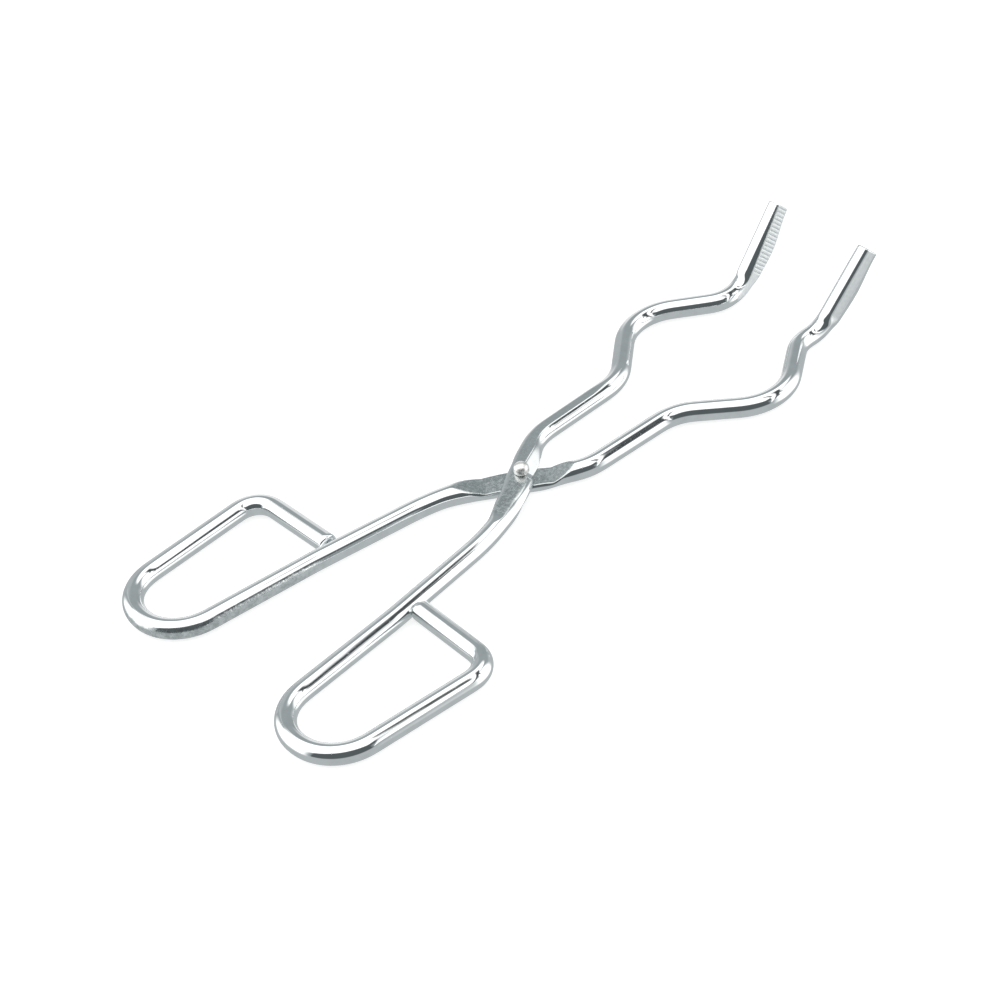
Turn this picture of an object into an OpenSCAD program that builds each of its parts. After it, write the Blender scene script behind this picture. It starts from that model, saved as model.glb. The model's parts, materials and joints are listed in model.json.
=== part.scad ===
// Crucible tongs: two arms bent from round rod, forged flat where they cross,
// and held together by one rivet. The tongs lie on a bench, part open.
// Millimetres. +X runs towards the tips, +Y towards the lower arm's finger loop, +Z up.

/* [Rod] */
// Diameter of the round rod that each arm is bent from
rod_d = 6.3; // [6.2:0.1:6.8]
// Length of the chamfer on the rod's cut end, where the loop closes
end_chamfer = 0.8; // [0.3:0.1:1.2]

/* [Finger loops] */
// Distance from the rivet back to the loop's rear corner on the shank
loop_rear_x = 115.4; // [113:0.2:118]
// How far the loop's outer rear corner stands in front of the inner one
loop_rear_lean = 2; // [0:0.2:3]
// Distance from the rivet back to the end of the closing leg
leg_x = 57.8; // [56:0.2:60]
// How far the closing leg's outer corner stands behind its end
leg_lean = 0.8; // [0:0.2:1.6]
// Distance of the loop's front outer corner from the middle line
loop_front_y = 54.4; // [53.4:0.2:56]
// Distance of the loop's rear outer corner from the middle line
loop_rear_y = 50.8; // [50.6:0.2:52]
// Bend radius of the loop's front outer corner
loop_front_r = 7.6; // [6:0.2:10]
// Bend radius of the loop's two rear corners
loop_rear_r = 14.6; // [11:0.2:14.6]
// Gap between the end of the closing leg and the shank that it closes on
leg_gap = 0.2; // [0.1:0.05:0.6]

/* [Shanks] */
// Distance of the shank from the middle line at the loop's rear corner
shank_rear_y = 23.2; // [22:0.2:23.2]
// Distance from the rivet back to the slight bend in the shank
shank_bend_x = 65.2; // [62:0.2:68]
// Distance of that slight bend from the middle line
shank_bend_y = 18.3; // [17.6:0.1:19]
// Radius of that slight bend
shank_bend_r = 60; // [30:5:120]

/* [Crossing] */
// Angle between an arm and the middle line where it passes the rivet
cross_angle = 36.5; // [34:0.5:37]
// Distance from the rivet to the bend on each side of it, along the arm
blade_run = 19.1; // [18.6:0.1:20]
// Radius of the long bend between the blade and the shank
blade_rear_r = 70; // [50:1:72]
// Radius of the bend between the blade and the jaw
blade_front_r = 17; // [12:1:20]
// Width of the forged blade at the rivet
blade_w = 8.2; // [7.6:0.1:9]
// Thickness of the forged blade
blade_t = 2.75; // [2.4:0.05:2.85]
// Gap between the two blades
blade_gap = 0.1; // [0.06:0.02:0.2]

/* [Jaws] */
// Distance from the rivet to the bend where the jaw starts to bow out
bow_start_x = 51.2; // [49:0.2:53]
// Distance of that bend from the middle line
bow_start_y = 12.2; // [11.6:0.1:13]
// Distance from the rivet to the widest point of the bow
bow_peak_x = 76.2; // [75:0.2:78]
// Distance of the bow's corner from the middle line
bow_peak_y = 34.8; // [33:0.2:36]
// Distance from the rivet to the bend where the bow ends
bow_end_x = 100.5; // [99.5:0.1:100.7]
// Distance of that bend from the middle line
bow_end_y = 16.8; // [16.7:0.1:17.4]
// Radius of the two outer bow bends
bow_r = 17; // [14:0.5:18]
// Radius of the bend where the bow ends
neck_r = 10.5; // [8:0.1:11]

/* [Tips] */
// Distance from the rivet to the bend where the tip turns up
tip_bend_x = 110; // [109.8:0.1:111]
// Angle between the tip and the middle line, seen from above
tip_heading = 4; // [3.6:0.1:4.2]
// Angle that the tip rises from the bench
tip_rise = 45; // [35:1:45]
// Radius of the bend where the tip turns up
tip_bend_r = 12; // [9:0.2:12]
// Length of the tip from the corner of that bend
tip_len = 28.8; // [28.8:0.2:32]
// Angle that each arm turns to bring the two gripping faces together
close_angle = 7.45; // [7.3:0.05:7.5]
// Gap that is left between the gripping faces when the tongs are closed
grip_gap = 0.1; // [0.06:0.02:0.3]
// Number of grooves across each gripping face
teeth = 18; // [6:1:18]
// Distance from one groove to the next
tooth_pitch = 1.27; // [1.15:0.01:1.3]
// Depth of a groove
tooth_depth = 0.25; // [0.2:0.05:0.5]
// Width of a groove
tooth_w = 0.65; // [0.5:0.05:0.8]

/* [Rivet] */
// Diameter of the rivet's shank
rivet_d = 3.2; // [2.6:0.1:3.6]
// Clearance round the shank in the upper arm, on the radius
pivot_clearance = 0.05; // [0.02:0.01:0.08]
// Diameter of the rivet's round head
head_d = 4.8; // [4.4:0.1:5.6]
// Height of the straight collar under the head's dome
head_collar = 1.1; // [0.8:0.1:1.6]
// Height of the head's dome above the collar
head_dome = 2; // [1.6:0.1:2.1]
// Gap between the rivet's head and the upper blade
head_gap = 0.05; // [0.02:0.01:0.1]
// Diameter of the peened tail in its countersink
tail_d = 5; // [4.4:0.1:5.6]
// Depth of the countersink for the tail
tail_depth = 0.9; // [0.6:0.1:1.1]
// Height that the peened tail stands out of the lower blade
tail_proud = 0.2; // [0.1:0.05:0.25]

/* [Hidden] */
$fn = 64;
steel = [0.80, 0.82, 0.83];
rivet_steel = [0.90, 0.90, 0.88];
rod_r = rod_d / 2;
// A bend is this much thicker than the straight rod, on the radius, so that
// each straight run ends inside the bends next to it.
bend_extra = 0.02;
// How far a straight run reaches into the bend next to it
seat_len = 0.3;
bend_d = rod_d + 2 * bend_extra;

// Points where the arm meets the blade's two bends
blade_rear = blade_run * [-cos(cross_angle), sin(cross_angle)];
blade_front = -blade_rear;
bow_end = [bow_end_x, -bow_end_y];
neck_len = (tip_bend_x - bow_end_x) / cos(tip_heading);
tip_bend = bow_end + neck_len * [cos(tip_heading), -sin(tip_heading)];
shank_mid = [-shank_bend_x, shank_bend_y];
shank_slope_front = (blade_rear.y - shank_mid.y) / (blade_rear.x - shank_mid.x);
leg_skew = atan(abs(shank_slope_front)) - atan(leg_lean / (loop_front_y - shank_bend_y));
leg_end_y = shank_mid.y + (shank_bend_x - leg_x) * shank_slope_front
  + rod_r + leg_gap + (rod_r - end_chamfer) * tan(leg_skew);

// Corners of the lower arm's centre line, from the end of the closing leg,
// round the loop, past the rivet at the origin and out to the tip's bend
corners = [
  [-leg_x, leg_end_y],
  [-leg_x - leg_lean, loop_front_y],
  [-loop_rear_x + loop_rear_lean, loop_rear_y],
  [-loop_rear_x, shank_rear_y],
  shank_mid,
  blade_rear,
  blade_front,
  [bow_start_x, -bow_start_y],
  [bow_peak_x, -bow_peak_y],
  bow_end,
  tip_bend
];
// Bend radius at each corner. The last bend turns upwards and is made apart.
radii = [0, loop_front_r, loop_rear_r, loop_rear_r, shank_bend_r, blade_rear_r,
  blade_front_r, bow_r, bow_r, neck_r, 0];
last = len(corners) - 1;

function heading(i) = let (v = corners[i + 1] - corners[i]) atan2(v.y, v.x);
function wrap(a) = a > 180 ? a - 360 : a < -180 ? a + 360 : a;
function turn(i) = i == 0 || i == last ? 0 : wrap(heading(i) - heading(i - 1));
function tangent_len(i) = radii[i] * tan(abs(turn(i)) / 2);
function along(a) = [cos(a), sin(a)];
function left_of(a) = [-sin(a), cos(a)];
function bend_start(i) = corners[i] - tangent_len(i) * along(heading(i - 1));
function bend_centre(i) = bend_start(i) + sign(turn(i)) * radii[i] * left_of(heading(i - 1));

tip_tangent = tip_bend_r * tan(tip_rise / 2);
tip_straight = tip_len - tip_tangent;
tip_end = tip_bend + tip_len * cos(tip_rise) * along(-tip_heading);

// Length of the lap face on each side of the rivet, and where its ramps end
lap_front = 9;
lap_front_ramp = 15.5;
lap_rear = 12;
lap_rear_ramp = 21;
// Length of the blade's leaf-shaped outline on each side of the rivet
leaf_front = 16;
leaf_rear = 22;
leaf_end_w = 2.4;
leaf_steps = 12;
// Power that makes the leaf's outline full in the middle: 1 is a plain cosine
leaf_fullness = 0.6;
blade_top = blade_gap / 2 + blade_t;
// How much the leaf starts out thicker than the blade, on each face
skin = 0.15;
// The outer cut's flat runs this far past the leaf, and then slopes away
flat_margin = 1;
flat_slope_run = 11;
// The dome is this much narrower than the head's collar, on the radius
dome_step = 0.1;
// Half the width of the cuts across the blade
cut_reach = 9;

// The whole object's box is centred on the origin, and its base is at z = 0.
x_max = tip_end.x + rod_r * sin(tip_rise) * cos(tip_heading);
x_min = bend_centre(3).x - loop_rear_r - bend_d / 2;
pivot_x = -(x_max + x_min) / 2;
pivot_z = bend_d / 2;

// The straight run after corner i. The first one starts with the cut end's chamfer.
module straight_run(i) {
  from = corners[i] + (tangent_len(i) - (i == 0 ? 0 : seat_len)) * along(heading(i));
  end_in = i == last - 1 ? tip_tangent : tangent_len(i + 1);
  to = corners[i + 1] + (seat_len - end_in) * along(heading(i));
  chamfer = i == 0 ? end_chamfer : 0;
  translate([from.x, from.y, 0])
    rotate([0, 90, heading(i)]) {
      translate([0, 0, chamfer])
        cylinder(h = norm(to - from) - chamfer, d = rod_d);
      if (chamfer > 0)
        cylinder(h = chamfer, d1 = rod_d - 2 * chamfer, d2 = rod_d);
    }
}

module flat_bend(i) {
  first = heading(i - 1) - sign(turn(i)) * 90 + min(turn(i), 0);
  translate([bend_centre(i).x, bend_centre(i).y, 0])
    rotate([0, 0, first])
      rotate_extrude(angle = abs(turn(i)))
        translate([radii[i], 0])
          circle(d = bend_d);
}

// The bend that turns up, and the straight tip after it. Local +X is the neck's direction.
module raised_tip() {
  translate([tip_bend.x, tip_bend.y, 0])
    rotate([0, 0, -tip_heading]) {
      translate([-tip_tangent, 0, tip_bend_r])
        rotate([90, 0, 0])
          rotate([0, 0, -90])
            rotate_extrude(angle = tip_rise)
              translate([tip_bend_r, 0])
                circle(d = bend_d);
      rotate([0, 90 - tip_rise, 0])
        translate([0, 0, tip_tangent - seat_len])
          cylinder(h = tip_straight + seat_len, d = rod_d);
    }
}

module bent_rod() {
  for (i = [0 : last - 1])
    straight_run(i);
  for (i = [1 : last - 1])
    flat_bend(i);
  raised_tip();
}

// Centre line of the blade at distance s past the rivet
function blade_point(s) = let (
    straight = blade_run - tangent_len(5),
    past = max(-s - straight, 0),
    swing = past / blade_rear_r * 180 / PI,
    from_centre = bend_centre(5) + blade_rear_r * left_of(-cross_angle + swing)
  ) past > 0 ? from_centre : s * along(-cross_angle);
function blade_heading(s) = -cross_angle
  + max(-s - blade_run + tangent_len(5), 0) / blade_rear_r * 180 / PI;
function leaf_w(s) = let (reach = s > 0 ? leaf_front : leaf_rear)
  leaf_end_w + (blade_w - leaf_end_w) * pow(max(cos(90 * s / reach), 0), leaf_fullness);
function leaf_side(side) = [for (k = [-leaf_steps : leaf_steps])
  let (s = k / leaf_steps * (k > 0 ? leaf_front : leaf_rear))
  blade_point(s) + side * leaf_w(s) / 2 * left_of(blade_heading(s))];
function backwards(list) = [for (k = [len(list) - 1 : -1 : 0]) list[k]];

// The forged blade's outline, a little thicker than it ends up on both faces
module blade_leaf() {
  translate([0, 0, -blade_top - skin])
    linear_extrude(height = blade_top + 2 * skin)
      polygon(concat(leaf_side(1), backwards(leaf_side(-1))));
}

// Cuts the rod from above, down to the lap face, with a ramp at each end
module lap_cut() {
  rise = rod_d;
  front_end = lap_front + (lap_front_ramp - lap_front) * rise / rod_r;
  rear_end = lap_rear + (lap_rear_ramp - lap_rear) * rise / rod_r;
  rotate([90, 0, -cross_angle])
    linear_extrude(height = 2 * cut_reach, center = true)
      polygon([[-lap_rear, -blade_gap / 2], [lap_front, -blade_gap / 2],
        [front_end, rise], [-rear_end, rise]]);
}

// Trims the outer face of the blade flat, and slopes away past both ends of the leaf
module outer_cut() {
  depth = rod_d;
  front = leaf_front + flat_margin;
  rear = leaf_rear + flat_margin;
  rotate([90, 0, -cross_angle])
    linear_extrude(height = 2 * cut_reach, center = true)
      polygon([[-rear, -blade_top], [front, -blade_top],
        [front + flat_slope_run, -depth], [-rear - flat_slope_run, -depth]]);
}

// Cuts the flat gripping face. Both faces lie in upright planes through the
// rivet's axis, so they meet all over when the tongs close.
module grip_cut() {
  below = rod_d;
  above = tip_len + rod_d;
  rotate([0, 0, -close_angle])
    translate([bow_end_x, -grip_gap / 2, -below])
      cube([2 * tip_len, 2 * rod_d, below + above]);
}

// Grooves across the gripping face, square to the tip, counted back from its end
module tooth_cuts() {
  half_w = tooth_w / 2;
  // The cutting wedge stands this far out of the face, and keeps its slope there
  mouth = tooth_depth / 2;
  mouth_half_w = half_w * (1 + mouth / tooth_depth);
  end_x = tip_end.x * cos(close_angle) - tip_end.y * sin(close_angle);
  rotate([0, 0, -close_angle])
    translate([end_x, -grip_gap / 2, tip_len * sin(tip_rise)])
      rotate([0, 90 - tip_rise, 0])
        for (k = [1 : teeth])
          translate([0, 0, half_w - k * tooth_pitch])
            rotate([0, 90, 0])
              linear_extrude(height = 2 * rod_d, center = true)
                polygon([[-mouth_half_w, mouth], [0, -tooth_depth], [mouth_half_w, mouth]]);
}

// One arm in the lower arm's layout. lap is 1 for a lap face on top and -1 for one underneath.
module arm(lap) {
  difference() {
    union() {
      bent_rod();
      scale_z(lap) blade_leaf();
    }
    scale_z(lap) lap_cut();
    scale_z(lap) outer_cut();
    grip_cut();
    tooth_cuts();
    children();
  }
}

module scale_z(side) {
  if (side < 0)
    mirror([0, 0, 1])
      children();
  else
    children();
}

module place() {
  translate([pivot_x, 0, pivot_z])
    children();
}

module lower_arm() {
  color(steel)
    place()
      arm(1) {
        cylinder(h = 2 * rod_d, d = rivet_d, center = true);
        // The countersink, whose cone runs on outside the blade
        translate([0, 0, -blade_top - tail_depth])
          cylinder(h = 2 * tail_depth, r1 = tail_d - rivet_d / 2, r2 = rivet_d / 2);
      }
}

module upper_arm() {
  color(steel)
    place()
      mirror([0, 1, 0])
        arm(-1)
          cylinder(h = 2 * rod_d, d = rivet_d + 2 * pivot_clearance, center = true);
}

// The head: a straight collar with a dome on it, a little narrower than the collar
module round_head() {
  dome_r = head_d / 2 - dome_step;
  cylinder(h = head_collar, d = head_d);
  intersection() {
    translate([0, 0, head_collar + head_dome - dome_r])
      sphere(r = dome_r);
    translate([0, 0, head_collar / 2])
      cylinder(h = head_dome + head_collar, d = 2 * head_d);
  }
}

// The tail: a cone that fills the countersink, and a low button outside it
module peened_tail() {
  button_d = tail_d - 2 * tail_proud;
  cylinder(h = tail_depth, d1 = tail_d, d2 = rivet_d);
  translate([0, 0, -tail_proud])
    cylinder(h = 2 * tail_proud, d = button_d);
}

module pivot_rivet() {
  head_z = blade_top + head_gap;
  color(rivet_steel)
    place() {
      translate([0, 0, -blade_top])
        cylinder(h = head_z + blade_top + head_collar / 2, d = rivet_d);
      translate([0, 0, head_z])
        round_head();
      translate([0, 0, -blade_top])
        peened_tail();
    }
}

lower_arm();
upper_arm();
pivot_rivet();
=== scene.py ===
"""Crucible tongs: two bent and forged rod arms and a round-head rivet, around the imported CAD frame.

Each arm is one swept mesh that follows the CAD arm's centre line. Its section changes from a
round rod to the forged blade at the rivet, and to the grooved flat at the tip. Lengths are in
millimetres and angles in degrees until a mesh is made, which is in metres.
"""
import json
import math

import bpy
import numpy as np
from mathutils import Matrix, Vector

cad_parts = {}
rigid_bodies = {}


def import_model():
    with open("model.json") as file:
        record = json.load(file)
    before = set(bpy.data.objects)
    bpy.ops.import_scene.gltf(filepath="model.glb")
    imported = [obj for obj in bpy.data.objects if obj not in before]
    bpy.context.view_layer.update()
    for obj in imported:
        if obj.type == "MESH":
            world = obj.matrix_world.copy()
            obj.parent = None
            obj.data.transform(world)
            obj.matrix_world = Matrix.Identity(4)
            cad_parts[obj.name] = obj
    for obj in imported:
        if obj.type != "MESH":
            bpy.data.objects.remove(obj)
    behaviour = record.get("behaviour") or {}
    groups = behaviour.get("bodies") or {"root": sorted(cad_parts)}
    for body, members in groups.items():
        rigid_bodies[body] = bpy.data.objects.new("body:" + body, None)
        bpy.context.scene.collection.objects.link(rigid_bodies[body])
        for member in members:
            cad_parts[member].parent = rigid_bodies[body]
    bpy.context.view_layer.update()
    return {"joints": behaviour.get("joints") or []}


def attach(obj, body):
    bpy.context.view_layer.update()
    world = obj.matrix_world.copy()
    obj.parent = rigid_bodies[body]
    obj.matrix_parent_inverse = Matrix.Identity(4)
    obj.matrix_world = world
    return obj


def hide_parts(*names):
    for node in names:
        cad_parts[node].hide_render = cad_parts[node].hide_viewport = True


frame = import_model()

MM = 0.001
PIVOT = np.array(frame["joints"][0]["pos_m"]) / MM
LOWER_BODY = frame["joints"][0]["parent"]
UPPER_BODY = frame["joints"][0]["child"]

# Driving dimensions, the same as the CAD model's.
ROD_R = 3.15
END_CHAMFER = 0.8
LEG_X, LEG_LEAN, LEG_GAP = 57.8, 0.8, 0.2
LOOP_REAR_X, LOOP_REAR_LEAN = 115.4, 2.0
LOOP_FRONT_Y, LOOP_REAR_Y, SHANK_REAR_Y = 54.4, 50.8, 23.2
SHANK_BEND_X, SHANK_BEND_Y = 65.2, 18.3
CROSS_ANGLE, BLADE_RUN = 36.5, 19.1
BOW_START, BOW_PEAK, BOW_END = (51.2, -12.2), (76.2, -34.8), (100.5, -16.8)
TIP_BEND_X, TIP_HEADING, TIP_RISE, TIP_LEN = 110.0, 4.0, 45.0, 28.8
LOOP_FRONT_R, LOOP_REAR_R, SHANK_BEND_R = 7.6, 14.6, 60.0
BLADE_REAR_R, BLADE_FRONT_R, BOW_R, NECK_R, TIP_BEND_R = 70.0, 17.0, 17.0, 10.5, 12.0
CLOSE_ANGLE, GRIP_GAP = 7.45, 0.1
TEETH, TOOTH_PITCH, TOOTH_DEPTH, TOOTH_W = 18, 1.27, 0.25, 0.65
BLADE_W, BLADE_T, BLADE_GAP = 8.2, 2.75, 0.1
BLADE_TOP = BLADE_GAP / 2 + BLADE_T
LAP_FRONT, LAP_FRONT_RAMP, LAP_REAR, LAP_REAR_RAMP = 9.0, 15.5, 12.0, 21.0
RIVET_D, HEAD_D, HEAD_COLLAR, HEAD_DOME, HEAD_GAP = 3.2, 4.8, 1.1, 2.0, 0.05
TAIL_D, TAIL_DEPTH, TAIL_PROUD = 5.0, 0.9, 0.2

# What forging and wear add to the CAD's shapes. Left and right are as seen along an arm, from its
# loop towards its tip. A course is a list of knots in that direction, each with the distance past
# the rivet and the value there. A power of 2 makes a side round, and a higher one makes it squarer.
# ENDS are how far behind and ahead of the rivet a blade widens or thins, and a GAIN makes that
# change come sooner. A section is never cut at NO_CUT.
NO_CUT = 2 * ROD_R
LOWER_BLADE_ENDS, LOWER_THIN_ENDS, UPPER_BLADE_ENDS = (30.0, 18.0), (26.0, 19.0), (24.0, 18.0)
LOWER_THIN_GAIN, LOWER_LEFT_GAIN, LOWER_LEFT_SQUARE = 2.2, 1.6, 0.9
LOWER_RIGHT_WIDTH = ((-27, ROD_R), (-7, 5.0), (4, 4.9), (18, ROD_R))
LOWER_RIGHT_POWER = ((-26, 2), (-8, 4), (4, 4), (15, 2))
LOWER_RIM = ((-28, 6), (-10, 4.1), (-3, 4.1), (6, 3.7), (20, 6))
UPPER_LEFT_WIDTH = ((-23, ROD_R), (-12, 4.5), (-2, 4.9), (6, 4.3), (20, ROD_R))
UPPER_LEFT_POWER = ((-24, 2), (-15, 3.4), (2, 3.2), (16, 2.2), (24, 2))
UPPER_RIGHT_POWER = ((-14, 2), (-5, 3.0), (0, 3.0), (5, 2))
UPPER_HEIGHT = ((-24, ROD_R), (-12, BLADE_TOP), (0, BLADE_TOP), (9, ROD_R))
UPPER_FLAT = ((-26, ROD_R + 0.3), (-19, BLADE_TOP - 0.1), (3, BLADE_TOP - 0.1), (20, ROD_R - 0.36),
              (42, ROD_R - 0.34), (54, ROD_R + 0.2))
# The facet on the upper blade, in front of the rivet: it falls to the right, and climbs forward
# and backward from the station where it is lowest.
FACET_AT, FACET_DROP, FACET_CLIMB, FACET_RUNOUT = 1, 0.65, 0.15, 0.6
FACET_FALL, FACET_SHIFT = 0.75, 0.3
# The right side of the lower blade, from the lap down: how far each facet leans from level, and
# how far out from the rim it would meet the lap.
RIM_FACETS = ((58, 0.0), (79, 0.26))
# The pressed tips, by distance back from their ends: a flat on the back, and a swollen underside.
PRESS_FROM, PRESS_RUN, BACK_CLEAR, BACK_PRESS = 27.0, 4.0, 0.4, 0.68
TIP_TALLER, TIP_NARROWER, TIP_SQUARE = 0.22, 0.1, 1.2
SWELL_FROM, SWELL_PEAK, SWELL_STOP = 28, 14, 1
LOWER_SWELL, UPPER_SWELL, END_NARROWING = 1.2, 1.8, 0.4
# The gripping face is cut from this far back, and its grooves fade out above and below its middle.
TIP_CUT_FROM, GROOVE_REACH, GROOVE_POWER = 34.0, 2.5, 6
# How widely the edges are rounded where a section's faces meet.
ROUND_LAP, ROUND_WORN, ROUND_FACET, ROUND_RIM = 0.45, 0.2, 0.3, 0.25
ROUND_GRIP, ROUND_BACK, ROUND_GROOVE, ROUND_END = 0.3, 0.4, 0.12, 0.3
# Where the surface looks worn, and where the lower right side of one shank is scuffed and carries
# painted shade: courses of the share so marked, how far under a face a point still counts as on it,
# and over what depth that fades in.
FORGED_FLAT = ((-22, 0), (-18, 1), (0, 1), (6, 0.35), (45, 0.25), (52, 0))
SCUFFED_AND_SHADED_SHANK = ((-140, 0), (-126, 1), (-80, 0.7), (-60, 0))
WORN_DEPTH, GRIP_DEPTH, BACK_DEPTH, WORN_FADE = 0.35, 0.5, 0.2, 0.3
LAP_FADE, SCUFF_AND_SHADE_LEFT, SCUFF_AND_SHADE_TOP, SCUFF_AND_SHADE_FADE = 4, 0.3, 2.6, 1.2

# The noises of both metals, in features per metre, and how far they move the surface, in metres.
MOTTLE, CLOUD, WAVE, SCUFF_AND_SHADE_NOISE, PIT = 1100, 240, 70, 420, 1700
WAVE_HEIGHT, FORGED_HEIGHT, PIT_DEPTH = 0.00005, 0.000035, 0.000006

# The camera stands on the -Y side at azimuth 0, and looks at a point that is off the rivet by the
# target's measures.
CAMERA_AZIMUTH, CAMERA_ELEVATION, CAMERA_ROLL = -35.53, 40.04, -8.77
CAMERA_DISTANCE, CAMERA_TARGET = 777.9, (-11.06, -2.60, 0.0)
LENS, SENSOR = 94.6214, 36.0

# How finely the meshes are cut. Each outline is found by halving the way from its middle to REACH.
AROUND, RIVET_AROUND = 80, 72
DENSE, HALVINGS, REACH = 720, 24, 8.0
BEVEL_STEPS, DOME_STEPS = 3, 19
LINE_STEP = 0.05
STEP_STRAIGHT, STEP_BEND, STEP_BLADE, STEP_TIP = 1.6, 0.6, 0.35, TOOTH_PITCH / 10
BLADE_ZONE, TIP_ZONE = 26.0, 31.0


def unit(v):
    return v / np.linalg.norm(v)


def leg_end_y():
    """How far out the closing leg ends: just clear of the shank's side."""
    run = BLADE_RUN * np.array([-math.cos(math.radians(CROSS_ANGLE)), math.sin(math.radians(CROSS_ANGLE))])
    slope = (run[1] - SHANK_BEND_Y) / (run[0] + SHANK_BEND_X)
    skew = math.atan(abs(slope)) - math.atan(LEG_LEAN / (LOOP_FRONT_Y - SHANK_BEND_Y))
    on_shank = SHANK_BEND_Y + (SHANK_BEND_X - LEG_X) * slope
    return on_shank + ROD_R + LEG_GAP + (ROD_R - END_CHAMFER) * math.tan(skew)


def corner_list():
    """The lower arm's corners and bend radii, from the closing leg's end to the tip's end."""
    cross = math.radians(CROSS_ANGLE)
    heading, rise = math.radians(TIP_HEADING), math.radians(TIP_RISE)
    blade = BLADE_RUN * np.array([math.cos(cross), -math.sin(cross)])
    bow_end = np.array(BOW_END)
    forward = np.array([math.cos(heading), -math.sin(heading)])
    tip_bend = bow_end + (TIP_BEND_X - BOW_END[0]) / math.cos(heading) * forward
    tip_end = np.append(tip_bend + TIP_LEN * math.cos(rise) * forward, TIP_LEN * math.sin(rise))
    flat = [
        ((-LEG_X, leg_end_y()), 0), ((-LEG_X - LEG_LEAN, LOOP_FRONT_Y), LOOP_FRONT_R),
        ((-LOOP_REAR_X + LOOP_REAR_LEAN, LOOP_REAR_Y), LOOP_REAR_R),
        ((-LOOP_REAR_X, SHANK_REAR_Y), LOOP_REAR_R), ((-SHANK_BEND_X, SHANK_BEND_Y), SHANK_BEND_R),
        (-blade, BLADE_REAR_R), (blade, BLADE_FRONT_R), (BOW_START, BOW_R), (BOW_PEAK, BOW_R),
        (bow_end, NECK_R), (tip_bend, TIP_BEND_R),
    ]
    points = [np.array([x, y, 0.0]) for (x, y), _ in flat] + [tip_end]
    return points, [r for _, r in flat] + [0]


def centre_line():
    """Points and directions along the arm, with the distance of each past the rivet's axis."""
    corners, radii = corner_list()
    places, ways, lengths, total = [], [], [], 0.0
    start = corners[0]
    for i in range(len(corners) - 1):
        way = unit(corners[i + 1] - corners[i])
        if i + 2 < len(corners):
            after = unit(corners[i + 2] - corners[i + 1])
            turn = math.acos(np.clip(way @ after, -1, 1))
        else:
            after, turn = way, 0.0
        tangent = radii[i + 1] * math.tan(turn / 2)
        stop = corners[i + 1] - tangent * way
        run = np.linalg.norm(stop - start)
        for t in np.arange(0, run, LINE_STEP):
            places.append(start + t * way)
            ways.append(way)
            lengths.append(total + t)
        total += run
        if turn:
            inward = unit(after - (after @ way) * way)
            centre = stop + radii[i + 1] * inward
            for a in np.linspace(0, turn, int(radii[i + 1] * turn / LINE_STEP) + 2)[:-1]:
                places.append(centre + radii[i + 1] * (math.sin(a) * way - math.cos(a) * inward))
                ways.append(math.cos(a) * way + math.sin(a) * inward)
                lengths.append(total + a * radii[i + 1])
            total += radii[i + 1] * turn
        start = corners[i + 1] + tangent * after
    places.append(corners[-1])
    ways.append(way)
    lengths.append(total)
    places, lengths = np.array(places), np.array(lengths)
    even = np.arange(0, total, LINE_STEP)
    places = np.stack([eased_line(np.interp(even, lengths, places[:, k])) for k in range(3)], 1)
    ways = np.gradient(places, even, axis=0)
    ways /= np.linalg.norm(ways, axis=1, keepdims=True)
    rivet = even[np.argmin((places ** 2).sum(1))]
    return places, ways, even - rivet


def eased_line(values):
    """Eases the change from straight to bend over about 4 mm, and leaves both ends where they are."""
    reach = 60
    kernel = np.exp(-0.5 * (np.arange(-reach, reach + 1) / (reach / 2.5)) ** 2)
    ahead = values[-1] + (values[-1] - values[-2]) * np.arange(1, reach + 1)
    behind = values[0] + (values[1] - values[0]) * np.arange(-reach, 0)
    return np.convolve(np.concatenate([behind, values, ahead]), kernel / kernel.sum(), "valid")


def stations(total_from, total_to, bends):
    """Where the rings go: close together in bends, the blade and the tip, and wide apart on straights."""
    s, out = total_from, []
    while s < total_to:
        out.append(s)
        if s > total_to - TIP_ZONE:
            step = STEP_TIP
        elif abs(s) < BLADE_ZONE:
            step = STEP_BLADE
        else:
            step = STEP_BEND if bends(s) or bends(s + STEP_STRAIGHT) else STEP_STRAIGHT
        s += step
    return np.array(out + [total_to])


def ease(x):
    """A smooth step from 0 to 1."""
    x = np.clip(x, 0, 1)
    return x * x * (3 - 2 * x)


def soft_max(a, b, width):
    """The larger of a and b, rounded where they cross."""
    gap = np.clip(width - np.abs(a - b), 0, None)
    return np.maximum(a, b) + gap ** 2 / (4 * width)


def ramped(s, low, flat_rear, flat_front, end_rear, end_front, high):
    """low between the two flat ends, then straight ramps that reach high at the two outer ends."""
    front = (s - flat_front) / (end_front - flat_front)
    rear = (-s - flat_rear) / (end_rear - flat_rear)
    climb = soft_max(np.maximum(front, rear), np.zeros_like(s), 0.08)
    return low + (high - low) * climb


def bump(s, rear, front):
    """1 at the rivet, falling to 0 at the two distances from it."""
    x = np.where(s > 0, s / front, -s / rear)
    return np.cos(np.clip(x, 0, 1) * math.pi / 2) ** 2


def course(s, knots):
    """A smooth course through (station, value) knots."""
    out = np.full_like(s, float(knots[0][1]))
    for (s0, v0), (s1, v1) in zip(knots, knots[1:]):
        out = np.where(s > s0, v0 + (v1 - v0) * ease((s - s0) / (s1 - s0)), out)
    return out


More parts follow.
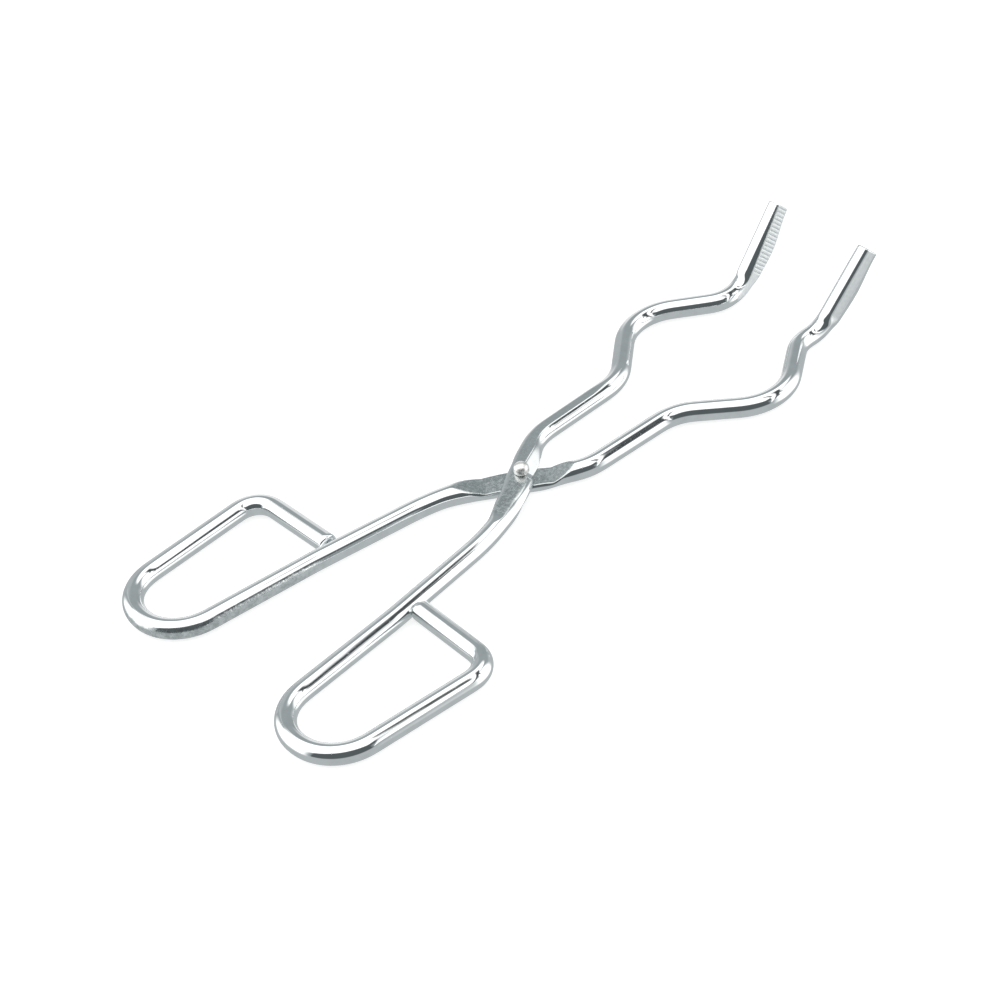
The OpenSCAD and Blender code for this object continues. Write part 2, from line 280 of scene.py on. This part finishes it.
def lower_blade(s):
    """The lower arm's section: its lap face is on top, and its right side flares below the rim."""
    blade, thin = bump(s, *LOWER_BLADE_ENDS), bump(s, *LOWER_THIN_ENDS)
    return {
        "wide_left": ROD_R + (BLADE_W / 2 - ROD_R) * blade,
        "wide_right": course(s, LOWER_RIGHT_WIDTH),
        "left": 2 + LOWER_LEFT_SQUARE * ease(LOWER_LEFT_GAIN * blade),
        "right": course(s, LOWER_RIGHT_POWER),
        "outer": ROD_R - (ROD_R - BLADE_TOP) * ease(LOWER_THIN_GAIN * thin),
        "outer_h": np.full_like(s, NO_CUT),
        "facet": np.full_like(s, NO_CUT),
        "rim": course(s, LOWER_RIM),
    }


def upper_blade(s):
    """The upper arm's section: its lap face is underneath, and a worn flat and a facet are on top."""
    climb = np.where(s > FACET_AT, FACET_CLIMB * (s - FACET_AT), FACET_RUNOUT * (FACET_AT - s))
    return {
        "wide_left": course(s, UPPER_LEFT_WIDTH),
        "wide_right": ROD_R + (BLADE_W / 2 - ROD_R) * bump(s, *UPPER_BLADE_ENDS),
        "left": course(s, UPPER_LEFT_POWER),
        "right": course(s, UPPER_RIGHT_POWER),
        "outer": course(s, UPPER_HEIGHT),
        "outer_h": course(s, UPPER_FLAT),
        "facet": BLADE_TOP - FACET_DROP + climb,
        "rim": np.full_like(s, BLADE_W),
    }


def section_shape(s, lap, end):
    """The section's sizes at each station s. lap is 1 where the lap face is on top, and -1 below.

    left and right are the powers of the outer side. The heights of the lap, the worn flat and the
    facet, and the rim's distance to the right, are those at which the section is cut.
    """
    shape = lower_blade(s) if lap > 0 else upper_blade(s)
    at_tip = ease((s - end + PRESS_FROM) / PRESS_RUN)
    for wide in ("wide_left", "wide_right"):
        shape[wide] = shape[wide] - TIP_NARROWER * at_tip
    lap_h = ramped(s, -BLADE_GAP / 2, LAP_REAR, LAP_FRONT, LAP_REAR_RAMP, LAP_FRONT_RAMP, ROD_R)
    shape["lap_h"] = np.minimum(lap_h, NO_CUT)
    shape["tall"] = TIP_TALLER * at_tip
    shape["square"] = 2 + TIP_SQUARE * at_tip
    shape["back_flat"] = ROD_R + BACK_CLEAR - BACK_PRESS * at_tip
    swell = LOWER_SWELL if lap > 0 else UPPER_SWELL
    shape["spread"] = course(s, ((end - SWELL_FROM, 0), (end - SWELL_PEAK, swell),
                                 (end - SWELL_STOP, -END_NARROWING)))
    return shape


def groove(back):
    """Depth of the grip's grooves at a distance back from the tip's end."""
    phase = np.mod(back + TOOTH_W / 2 + TOOTH_PITCH / 2, TOOTH_PITCH) - TOOTH_PITCH / 2
    depth = TOOTH_DEPTH * (1 - np.abs(phase) / (TOOTH_W / 2))
    depth = soft_max(depth, np.zeros_like(depth), ROUND_GROOVE)
    return np.where(back < TEETH * TOOTH_PITCH + ROUND_END, depth, 0.0)


def ring_frames(lap):
    """The stations of one arm, and the centre and the sideways, upward and forward ways at each."""
    places, ways, lengths = centre_line()
    flip = np.array([1, lap, 1])
    places, ways = places * flip, ways * flip
    turning = np.linalg.norm(np.gradient(ways, lengths, axis=0), axis=1) > 1e-3
    s = stations(lengths[0], lengths[-1], lambda x: np.interp(x, lengths, turning) > 0)
    centre = np.stack([np.interp(s, lengths, places[:, k]) for k in range(3)], 1)
    way = np.stack([np.interp(s, lengths, ways[:, k]) for k in range(3)], 1)
    way /= np.linalg.norm(way, axis=1, keepdims=True)
    side = np.cross([0, 0, 1.0], way)
    side /= np.linalg.norm(side, axis=1, keepdims=True)
    return s, centre, side, np.cross(way, side), way


def arm_rings(lap):
    """Centre, sideways, upward and forward vectors, outline, and worn and painted-shade zones of one arm's
    rings.
    """
    s, centre, side, up, way = ring_frames(lap)
    shape = section_shape(s, lap, s[-1])
    close = math.radians(CLOSE_ANGLE)
    grip_normal = np.array([math.sin(close), lap * math.cos(close), 0])
    base = (centre @ grip_normal + GRIP_GAP / 2)[:, None]
    lean_side, lean_up = (side @ grip_normal)[:, None], (up @ grip_normal)[:, None]
    depth = groove(s[-1] - s)[:, None]
    in_tip = (s > s[-1] - TIP_CUT_FROM)[:, None]

    angle = np.linspace(-math.pi / 2, 1.5 * math.pi, DENSE + 1)[None, :]
    cos, sin = np.cos(angle), np.sin(angle)
    column = {k: v[:, None] for k, v in shape.items()}
    top, under = column["outer_h"], column["lap_h"]
    if lap > 0:
        top, under = under, top
    mid = (np.minimum(top, ROD_R) - np.minimum(under, ROD_R)) / 2
    half_spread = column["spread"] / 2

    def inside(reach):
        """Negative where a point at this reach from the middle is inside the section."""
        along_side, along_up = reach * cos, mid + reach * sin
        is_outer, is_left = along_up * lap < 0, along_side > 0
        tall = np.where(is_outer, column["outer"], ROD_R) + column["tall"]
        tall = tall + np.where(along_up < 0, column["spread"], 0)
        wide = np.where(is_left, column["wide_left"], column["wide_right"])
        p = np.where(is_outer, np.where(is_left, column["left"], column["right"]), 2.0)
        p = np.maximum(p, np.where((is_left == (lap > 0)) & (along_up > 0), 2.0, column["square"]))
        body = ((np.abs(along_side) / wide) ** p + (np.abs(along_up) / tall) ** p) ** (1 / p)
        field = (body - 1) * ROD_R
        field = soft_max(field, along_up - top, ROUND_LAP if lap > 0 else ROUND_WORN)
        field = soft_max(field, -along_up - under, ROUND_LAP)
        if lap < 0:
            facet = along_up - column["facet"] - FACET_FALL * (along_side + FACET_SHIFT)
            field = soft_max(field, facet, ROUND_FACET)
        else:
            for degrees, inset in RIM_FACETS:
                lean = math.radians(degrees)
                beyond, above = -along_side - column["rim"] - inset, along_up + BLADE_GAP / 2
                facet = beyond * math.sin(lean) + above * math.cos(lean)
                field = soft_max(field, facet, ROUND_RIM)
        grip = along_side * lean_side + along_up * lean_up
        cut = soft_max(field, base + grip, ROUND_GRIP)
        from_middle = np.abs(along_up + half_spread) / (GROOVE_REACH + half_spread)
        face = np.clip(1 - from_middle ** GROOVE_POWER, 0, 1)
        cut = np.maximum(cut, base + grip + depth * face)
        cut = soft_max(cut, -grip - column["back_flat"], ROUND_BACK)
        return np.where(in_tip, cut, field)

    low, high = np.zeros((len(s), DENSE + 1)), np.full((len(s), DENSE + 1), REACH)
    for _ in range(HALVINGS):
        half = (low + high) / 2
        out = inside(half) > 0
        high, low = np.where(out, half, high), np.where(out, low, half)
    outline = resampled(np.stack([low * cos, mid + low * sin], 2))
    grip = outline[..., 0] * lean_side + outline[..., 1] * lean_up
    on_tip = np.maximum(base + grip + GRIP_DEPTH, BACK_DEPTH - grip - column["back_flat"])
    pressed = ease(on_tip / WORN_FADE) * in_tip
    return centre, side, up, way, outline, s, (*worn_and_shaded_zones(outline, s, shape, lap), pressed)


def worn_and_shaded_zones(outline, s, shape, lap):
    """How far each point is forged (the lap and the blade's flats), and how far it is scuffed and
    carries painted shade (one shank's lower right side).
    """
    height = outline[..., 1]
    near = ease((BLADE_ZONE - np.abs(s)) / LAP_FADE)[:, None]
    on_lap = ease((lap * height - shape["lap_h"][:, None] + WORN_DEPTH) / WORN_FADE) * near
    if lap > 0:
        # The lower arm's shank gets dull patches on its lower right side: partly scuffs, and partly painted
        # shade standing in for the grey floor reflected on that side.
        shank = course(s, SCUFFED_AND_SHADED_SHANK)[:, None]
        on_right = ease((SCUFF_AND_SHADE_LEFT - outline[..., 0]) / SCUFF_AND_SHADE_FADE)
        low_right = on_right * ease((SCUFF_AND_SHADE_TOP - height) / SCUFF_AND_SHADE_FADE)
        return on_lap, shank * low_right
    flat = course(s, FORGED_FLAT)[:, None]
    on_outer = ease((height - shape["outer_h"][:, None] + WORN_DEPTH) / WORN_FADE) * flat
    return np.maximum(on_lap, on_outer), np.zeros_like(height)


def resampled(outline):
    """The outline of each ring with AROUND points, closer together where it bends."""
    step = np.diff(outline, axis=1)
    length = np.linalg.norm(step, axis=2)
    heading = np.unwrap(np.arctan2(step[..., 1], step[..., 0]), axis=1)
    bend = np.abs(np.diff(heading, axis=1, append=heading[:, -1:]))
    weight = np.concatenate([np.zeros((len(outline), 1)), np.cumsum(length + 2.0 * bend, axis=1)], 1)
    rings = np.empty((len(outline), AROUND, 2))
    for ring, points, w in zip(rings, outline, weight):
        at = np.linspace(0, w[-1], AROUND + 1)[:-1]
        ring[:, 0] = np.interp(at, w, points[:, 0])
        ring[:, 1] = np.interp(at, w, points[:, 1])
    return rings


def end_cap(rim, way, bevel, dome):
    """Rings that close an end beyond its rim, and the middle point: a rounded bevel, then the face."""
    mid = rim.mean(0)
    radius = np.linalg.norm(rim - mid, axis=1)
    rings = []
    for k in range(1, BEVEL_STEPS + 1):
        a = k / BEVEL_STEPS * math.pi / 2
        share = (1 - bevel * (1 - math.cos(a)) / radius)[:, None]
        rings.append(mid + (rim - mid) * share + way * bevel * math.sin(a))
    for share in (0.66, 0.33):
        lift = bevel + dome * (1 - share ** 2)
        rings.append(mid + (rim - mid) * share + way * lift)
    return rings, mid + way * (bevel + dome)


def arm_mesh(name, lap):
    """One arm as a tube of rings with closed ends, and its worn and painted-shade zones as attributes."""
    centre, side, up, way, outline, s, zones = arm_rings(lap)
    rings = (centre[:, None] + outline[..., :1] * side[:, None] + outline[..., 1:] * up[:, None])
    start, stop = rings[0] + END_CHAMFER * way[0], rings[-1] - ROUND_END * way[-1]
    first, first_mid = end_cap(start, -way[0], END_CHAMFER, 0.05)
    last, last_mid = end_cap(stop, way[-1], ROUND_END, 0.02)
    kept = (s > s[0] + END_CHAMFER) & (s < s[-1] - ROUND_END)
    chain = first[::-1] + [start] + [*rings[kept]] + [stop] + last
    points = np.concatenate([np.array(chain).reshape(-1, 3), [first_mid], [last_mid]])
    end, poles = (len(chain) - 1) * AROUND, len(chain) * AROUND
    faces = tube_faces(len(chain), AROUND)
    for j in range(AROUND):
        k = (j + 1) % AROUND
        faces += [(poles, k, j), (poles + 1, end + j, end + k)]
    piece = make_object(name, points + PIVOT, faces)
    for label, zone in zip(("forged", "scuffed_and_shaded", "pressed"), zones):
        values = np.zeros(len(points))
        from_ring = (len(first) + 1) * AROUND
        values[from_ring:from_ring + kept.sum() * AROUND] = zone[kept].ravel()
        layer = piece.data.attributes.new(label, "FLOAT", "POINT")
        layer.data.foreach_set("value", values)
    return piece


def tube_faces(rings, around):
    """The faces between neighbouring rings."""
    faces = []
    for i in range(rings - 1):
        for j in range(around):
            k = (j + 1) % around
            faces.append((i * around + j, i * around + k, (i + 1) * around + k, (i + 1) * around + j))
    return faces


def make_object(name, points_mm, faces):
    """A smooth-shaded object whose edges sharper than 40 degrees stay sharp."""
    mesh = bpy.data.meshes.new(name)
    mesh.from_pydata((np.asarray(points_mm) * MM).tolist(), [], faces)
    mesh.validate()
    mesh.shade_smooth()
    mesh.set_sharp_from_angle(angle=math.radians(40))
    piece = bpy.data.objects.new(name, mesh)
    bpy.context.scene.collection.objects.link(piece)
    return piece


def arc(centre, radius, start, stop, steps):
    """Points of an arc in the (radius, height) plane, angles in degrees."""
    angles = [math.radians(start + (stop - start) * k / steps) for k in range(steps + 1)]
    return [(centre[0] + radius * math.cos(a), centre[1] + radius * math.sin(a)) for a in angles]


def rivet_mesh():
    """The rivet, turned about its axis: tail button, countersunk cone, shank, collar and dome."""
    head_z, edge = BLADE_TOP + HEAD_GAP, 0.25
    head_r, button_r = HEAD_D / 2, TAIL_D / 2 - TAIL_PROUD
    dome_z = head_z + HEAD_COLLAR
    profile = [(0.0, -BLADE_TOP - TAIL_PROUD)]
    profile += arc((button_r - TAIL_PROUD, -BLADE_TOP), TAIL_PROUD, -90, 0, 5)
    profile += [(TAIL_D / 2 - 0.02, -BLADE_TOP + 0.01), (RIVET_D / 2, -BLADE_TOP + TAIL_DEPTH)]
    profile += [(RIVET_D / 2, head_z), (head_r - edge, head_z)]
    profile += arc((head_r - edge, head_z + edge), edge, -90, 0, 5)
    profile += [(head_r + 0.03 * math.sin(math.pi * k / 4), head_z + edge + (HEAD_COLLAR - edge) * k / 4)
                for k in (1, 2, 3)]
    for k in range(DOME_STEPS):
        a = math.radians(90 * k / DOME_STEPS)
        profile.append((head_r * math.cos(a) ** 0.9, dome_z + HEAD_DOME * math.sin(a)))
    points = []
    for r, z in profile[1:]:
        for k in range(RIVET_AROUND):
            a = 2 * math.pi * k / RIVET_AROUND
            points.append((r * math.cos(a), r * math.sin(a), z))
    faces = tube_faces(len(profile) - 1, RIVET_AROUND)
    low, high, last = len(points), len(points) + 1, len(points) - RIVET_AROUND
    points += [(0, 0, profile[0][1]), (0, 0, dome_z + HEAD_DOME)]
    for j in range(RIVET_AROUND):
        k = (j + 1) % RIVET_AROUND
        faces += [(low, k, j), (high, last + j, last + k)]
    return make_object("rivet", np.array(points) + PIVOT, faces)


def add_node(tree, kind, **settings):
    node = tree.nodes.new(kind)
    for name, value in settings.items():
        setattr(node, name, value)
    return node


def feed(tree, socket, value):
    if isinstance(value, bpy.types.NodeSocket):
        tree.links.new(value, socket)
    else:
        socket.default_value = value


def maths(tree, operation, *values):
    node = add_node(tree, "ShaderNodeMath", operation=operation)
    for socket, value in zip(node.inputs, values):
        feed(tree, socket, value)
    return node.outputs[0]


def dot(tree, direction, vector):
    node = add_node(tree, "ShaderNodeVectorMath", operation="DOT_PRODUCT")
    feed(tree, node.inputs[0], direction)
    feed(tree, node.inputs[1], tuple(vector))
    return node.outputs["Value"]


def rise(tree, value, start, stop):
    """0 up to start, 1 from stop on, and smooth between; it falls if stop is below start."""
    node = add_node(tree, "ShaderNodeMapRange", interpolation_type="SMOOTHSTEP")
    low, high, out = (start, stop, (0, 1)) if start < stop else (stop, start, (1, 0))
    for name, x in zip(("Value", "From Min", "From Max", "To Min", "To Max"), (value, low, high, *out)):
        feed(tree, node.inputs[name], x)
    return node.outputs["Result"]


def blend_colour(tree, share, first, second):
    node = add_node(tree, "ShaderNodeMix", data_type="RGBA")
    feed(tree, node.inputs["Factor"], share)
    feed(tree, node.inputs["A"], first if isinstance(first, bpy.types.NodeSocket) else (*first, 1))
    feed(tree, node.inputs["B"], second if isinstance(second, bpy.types.NodeSocket) else (*second, 1))
    return node.outputs["Result"]


def noise(tree, scale, detail, roughness=0.55):
    """Object-space noise, with features about 1 / scale metres across."""
    node = add_node(tree, "ShaderNodeTexNoise")
    where = add_node(tree, "ShaderNodeTexCoord").outputs["Object"]
    for name, value in (("Vector", where), ("Scale", scale), ("Detail", detail), ("Roughness", roughness)):
        feed(tree, node.inputs[name], value)
    return node.outputs["Fac"]


def attribute(tree, label):
    return add_node(tree, "ShaderNodeAttribute", attribute_name=label).outputs["Fac"]


def scaled(tree, value, low, high):
    """A noise's middle range, spread from low to high."""
    node = add_node(tree, "ShaderNodeMapRange", clamp=True)
    for name, x in zip(("Value", "From Min", "From Max", "To Min", "To Max"), (value, 0.3, 0.7, low, high)):
        feed(tree, node.inputs[name], x)
    return node.outputs["Result"]


def metal(name, bright, dull, smooth, rough):
    """Bright metal with slow waves and faint pits, mottled and duller where it is forged, and where
    one shank's lower right side is scuffed and carries painted shade, and pale and frosted where a tip
    was pressed."""
    material = bpy.data.materials.new(name)
    material.use_nodes = True
    tree = material.node_tree
    shader = tree.nodes["Principled BSDF"]
    shader.inputs["Metallic"].default_value = 1.0
    forged, scuffed_and_shaded, pressed = (attribute(tree, label) for label in ("forged", "scuffed_and_shaded", "pressed"))
    mottle, cloud, wave = noise(tree, MOTTLE, 3), noise(tree, CLOUD, 2), noise(tree, WAVE, 1)
    # Painted shade: dull mottled patches on one shank's lower right side, partly scuffs and partly the grey
    # floor's reflection painted into the colour.
    scuff_and_shade_patches = maths(tree, "MULTIPLY", scuffed_and_shaded, rise(tree, noise(tree, SCUFF_AND_SHADE_NOISE, 4, 0.7), 0.36, 0.6))
    worn_and_shaded = maths(tree, "MAXIMUM", forged, scuff_and_shade_patches)
    tone = blend_colour(tree, rise(tree, cloud, 0.35, 0.7), bright, [0.94 * c for c in bright])
    worn_and_shaded_tone = blend_colour(tree, rise(tree, mottle, 0.38, 0.62), [0.82 * c for c in dull], dull)
    pressed_tone = blend_colour(tree, rise(tree, mottle, 0.38, 0.62), bright, [1.08 * c for c in bright])
    tone = blend_colour(tree, pressed, blend_colour(tree, worn_and_shaded, tone, worn_and_shaded_tone), pressed_tone)
    tree.links.new(tone, shader.inputs["Base Color"])
    clean = scaled(tree, cloud, 0.8 * smooth, 1.5 * smooth)
    gloss = add_node(tree, "ShaderNodeMix", data_type="FLOAT")
    etched = scaled(tree, mottle, 0.7 * rough, 1.2 * rough)
    for socket, value in zip(("Factor", "A", "B"), (worn_and_shaded, clean, etched)):
        feed(tree, gloss.inputs[socket], value)
    frosted = maths(tree, "MULTIPLY", pressed, scaled(tree, mottle, 0.55, 0.75))
    tree.links.new(maths(tree, "MAXIMUM", gloss.outputs["Result"], frosted), shader.inputs["Roughness"])
    slow = maths(tree, "MULTIPLY", wave, WAVE_HEIGHT)
    fine = maths(tree, "MULTIPLY", maths(tree, "MULTIPLY", mottle, worn_and_shaded), FORGED_HEIGHT)
    pits = maths(tree, "MULTIPLY", rise(tree, noise(tree, PIT, 1), 0.72, 0.8), -PIT_DEPTH)
    height = maths(tree, "ADD", maths(tree, "ADD", slow, fine), pits)
    relief = add_node(tree, "ShaderNodeBump")
    relief.inputs["Distance"].default_value = 1.0
    tree.links.new(height, relief.inputs["Height"])
    tree.links.new(relief.outputs["Normal"], shader.inputs["Normal"])
    return material


def direction_of(azimuth, elevation):
    """The way from the tongs to a camera or a panel at these angles, in radians."""
    return Vector((math.sin(azimuth) * math.cos(elevation), -math.cos(azimuth) * math.cos(elevation),
                   math.sin(elevation)))


def place_camera():
    """The camera looks down at the tongs from the finger loops' side, rolled a little."""
    azimuth, elevation, roll = (math.radians(x) for x in (CAMERA_AZIMUTH, CAMERA_ELEVATION, CAMERA_ROLL))
    back = direction_of(azimuth, elevation)
    right = (-back).cross(Vector((0, 0, 1))).normalized()
    up = right.cross(-back)
    across = right * math.cos(roll) + up * math.sin(roll)
    upward = up * math.cos(roll) - right * math.sin(roll)
    target = Vector(PIVOT + CAMERA_TARGET)
    data = bpy.data.cameras.new("camera")
    data.lens, data.sensor_width = LENS, SENSOR
    data.clip_start, data.clip_end = 0.01, 20.0
    camera = bpy.data.objects.new("camera", data)
    turn = Matrix((across, upward, back)).transposed().to_4x4()
    camera.matrix_world = Matrix.Translation((target + back * CAMERA_DISTANCE) * MM) @ turn
    bpy.context.scene.collection.objects.link(camera)
    bpy.context.scene.camera = camera


# The studio, by direction from the tongs: each panel is a rectangle seen past the tangents of its
# edges. Azimuth and elevation give the panel's axis, as for the camera, and roll turns it.
FLOOR_TONE, WALL_TONE = (0.48, 0.51, 0.515), (0.345, 0.38, 0.39)
WHITE, OPENING = (1.5, 1.5, 1.5), (0.10, 0.115, 0.12)
PANELS = (
    # azimuth, elevation, roll, left, right, bottom, top, softness across and up, colour
    (CAMERA_AZIMUTH - 158, 0, 0, -0.3, 0.3, -0.5, 0.75, 0.3, 0.3, (0.45, 0.48, 0.49)),
    (CAMERA_AZIMUTH + 180, 0, 0, -0.25, 0.27, -0.6, 0.38, 0.3, 0.3, (0.90, 0.91, 0.91)),
    (CAMERA_AZIMUTH + 128, 0, 0, -0.2, 0.2, -0.25, 0.3, 0.3, 0.3, (0.48, 0.51, 0.52)),
    (CAMERA_AZIMUTH - 95, 0, 0, -0.6, 0.8, -0.15, 9.0, 0.4, 0.4, WHITE),
    (CAMERA_AZIMUTH + 84, 0, 0, -0.62, 0.5, -0.48, 1.2, 0.45, 0.45, WHITE),
    (CAMERA_AZIMUTH, 0, 0, -0.98, 1.4, -0.06, 3.0, 0.2, 0.2, OPENING),
    (CAMERA_AZIMUTH + 53, 40, 0, -0.3, 0.22, -0.22, 0.2, 0.15, 0.15, OPENING),
    (CAMERA_AZIMUTH + 180, 90, 0, -9.0, 0.75, -0.82, 0.74, 0.22, 0.22, WHITE),
    (CAMERA_AZIMUTH + 180, 90, 46, 0.25, 9.0, -0.50, -0.26, 0.08, 0.08, WHITE),
    (CAMERA_AZIMUTH + 180, 90, 46, 0.05, 3.0, -0.645, -0.475, 0.3, 0.06, (0.065, 0.075, 0.08)),
    (CAMERA_AZIMUTH + 180, 90, 17, 0.65, 1.25, -0.29, -0.20, 0.2, 0.06, (0.09, 0.10, 0.10)),
    (CAMERA_AZIMUTH + 180, 90, 46, 0.12, 0.78, -0.35, -0.275, 0.25, 0.05, (0.08, 0.09, 0.09)),
    (CAMERA_AZIMUTH - 147, 0, 0, -0.04, 0.04, 0.35, 1.7, 0.04, 0.04, (0.55, 0.58, 0.59)),
)


def panel_axes(azimuth, elevation, roll):
    """A panel's axis, and the ways across and up it."""
    a, e, r = (math.radians(x) for x in (azimuth, elevation, roll))
    axis = direction_of(a, e)
    right = Vector((-math.cos(a), -math.sin(a), 0))
    up = right.cross(axis)
    return axis, right * math.cos(r) + up * math.sin(r), up * math.cos(r) - right * math.sin(r)


def studio_world():
    """A shaded surround with panels, which only reflections see: the camera sees plain white."""
    world = bpy.data.worlds.new("studio")
    bpy.context.scene.world = world
    world.use_nodes = True
    tree = world.node_tree
    direction = add_node(tree, "ShaderNodeTexCoord").outputs["Generated"]
    height = dot(tree, direction, (0, 0, 1))
    colour = blend_colour(tree, rise(tree, height, -0.12, 0.1), FLOOR_TONE, WALL_TONE)
    for azimuth, elevation, roll, left, right, bottom, top, soft_x, soft_y, tone in PANELS:
        axis, across, upward = panel_axes(azimuth, elevation, roll)
        ahead = dot(tree, direction, axis)
        safe = maths(tree, "MAXIMUM", ahead, 0.02)
        x = maths(tree, "DIVIDE", dot(tree, direction, across), safe)
        y = maths(tree, "DIVIDE", dot(tree, direction, upward), safe)
        share = rise(tree, ahead, 0.02, 0.06)
        edges = ((x, left, soft_x), (x, right, -soft_x), (y, bottom, soft_y), (y, top, -soft_y))
        for value, edge, fade in edges:
            step = rise(tree, value, edge - fade / 2, edge + fade / 2)
            share = maths(tree, "MULTIPLY", share, step)
        colour = blend_colour(tree, share, colour, tone)
    seen = add_node(tree, "ShaderNodeLightPath").outputs["Is Camera Ray"]
    colour = blend_colour(tree, seen, colour, (1.0, 1.0, 1.0))
    tree.links.new(colour, tree.nodes["Background"].inputs["Color"])
    world.cycles.sampling_method = "MANUAL"
    world.cycles.sample_map_resolution = 512


def pale_floor():
    """A floor that takes a soft shadow and doesn't show in the metal."""
    mesh = bpy.data.meshes.new("floor")
    mesh.from_pydata([(-3, -3, 0), (3, -3, 0), (3, 3, 0), (-3, 3, 0)], [], [(0, 1, 2, 3)])
    material = bpy.data.materials.new("pale_floor")
    material.use_nodes = True
    shader = material.node_tree.nodes["Principled BSDF"]
    shader.inputs["Base Color"].default_value = (0.5, 0.5, 0.5, 1)
    shader.inputs["Roughness"].default_value = 1.0
    shader.inputs["Specular IOR Level"].default_value = 0.0
    shader.inputs["Emission Color"].default_value = (1, 1, 1, 1)
    shader.inputs["Emission Strength"].default_value = 0.75
    mesh.materials.append(material)
    floor = bpy.data.objects.new("floor", mesh)
    bpy.context.scene.collection.objects.link(floor)
    floor.visible_glossy = False


place_camera()
lower = arm_mesh("lower_arm_rod", 1)
upper = arm_mesh("upper_arm_rod", -1)
rivet = rivet_mesh()
plated = metal("bright_plating", (0.88, 0.90, 0.905), (0.66, 0.70, 0.70), 0.05, 0.26)
rivet_steel = metal("satin_rivet", (0.97, 0.955, 0.93), (0.80, 0.77, 0.72), 0.30, 0.34)
for piece, body, node in ((lower, LOWER_BODY, "lower_arm"), (upper, UPPER_BODY, "upper_arm"),
                          (rivet, LOWER_BODY, "pivot_rivet")):
    piece.data.materials.append(rivet_steel if piece is rivet else plated)
    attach(piece, body)
    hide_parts(node)
studio_world()
pale_floor()
bpy.context.scene.view_settings.view_transform = "Standard"
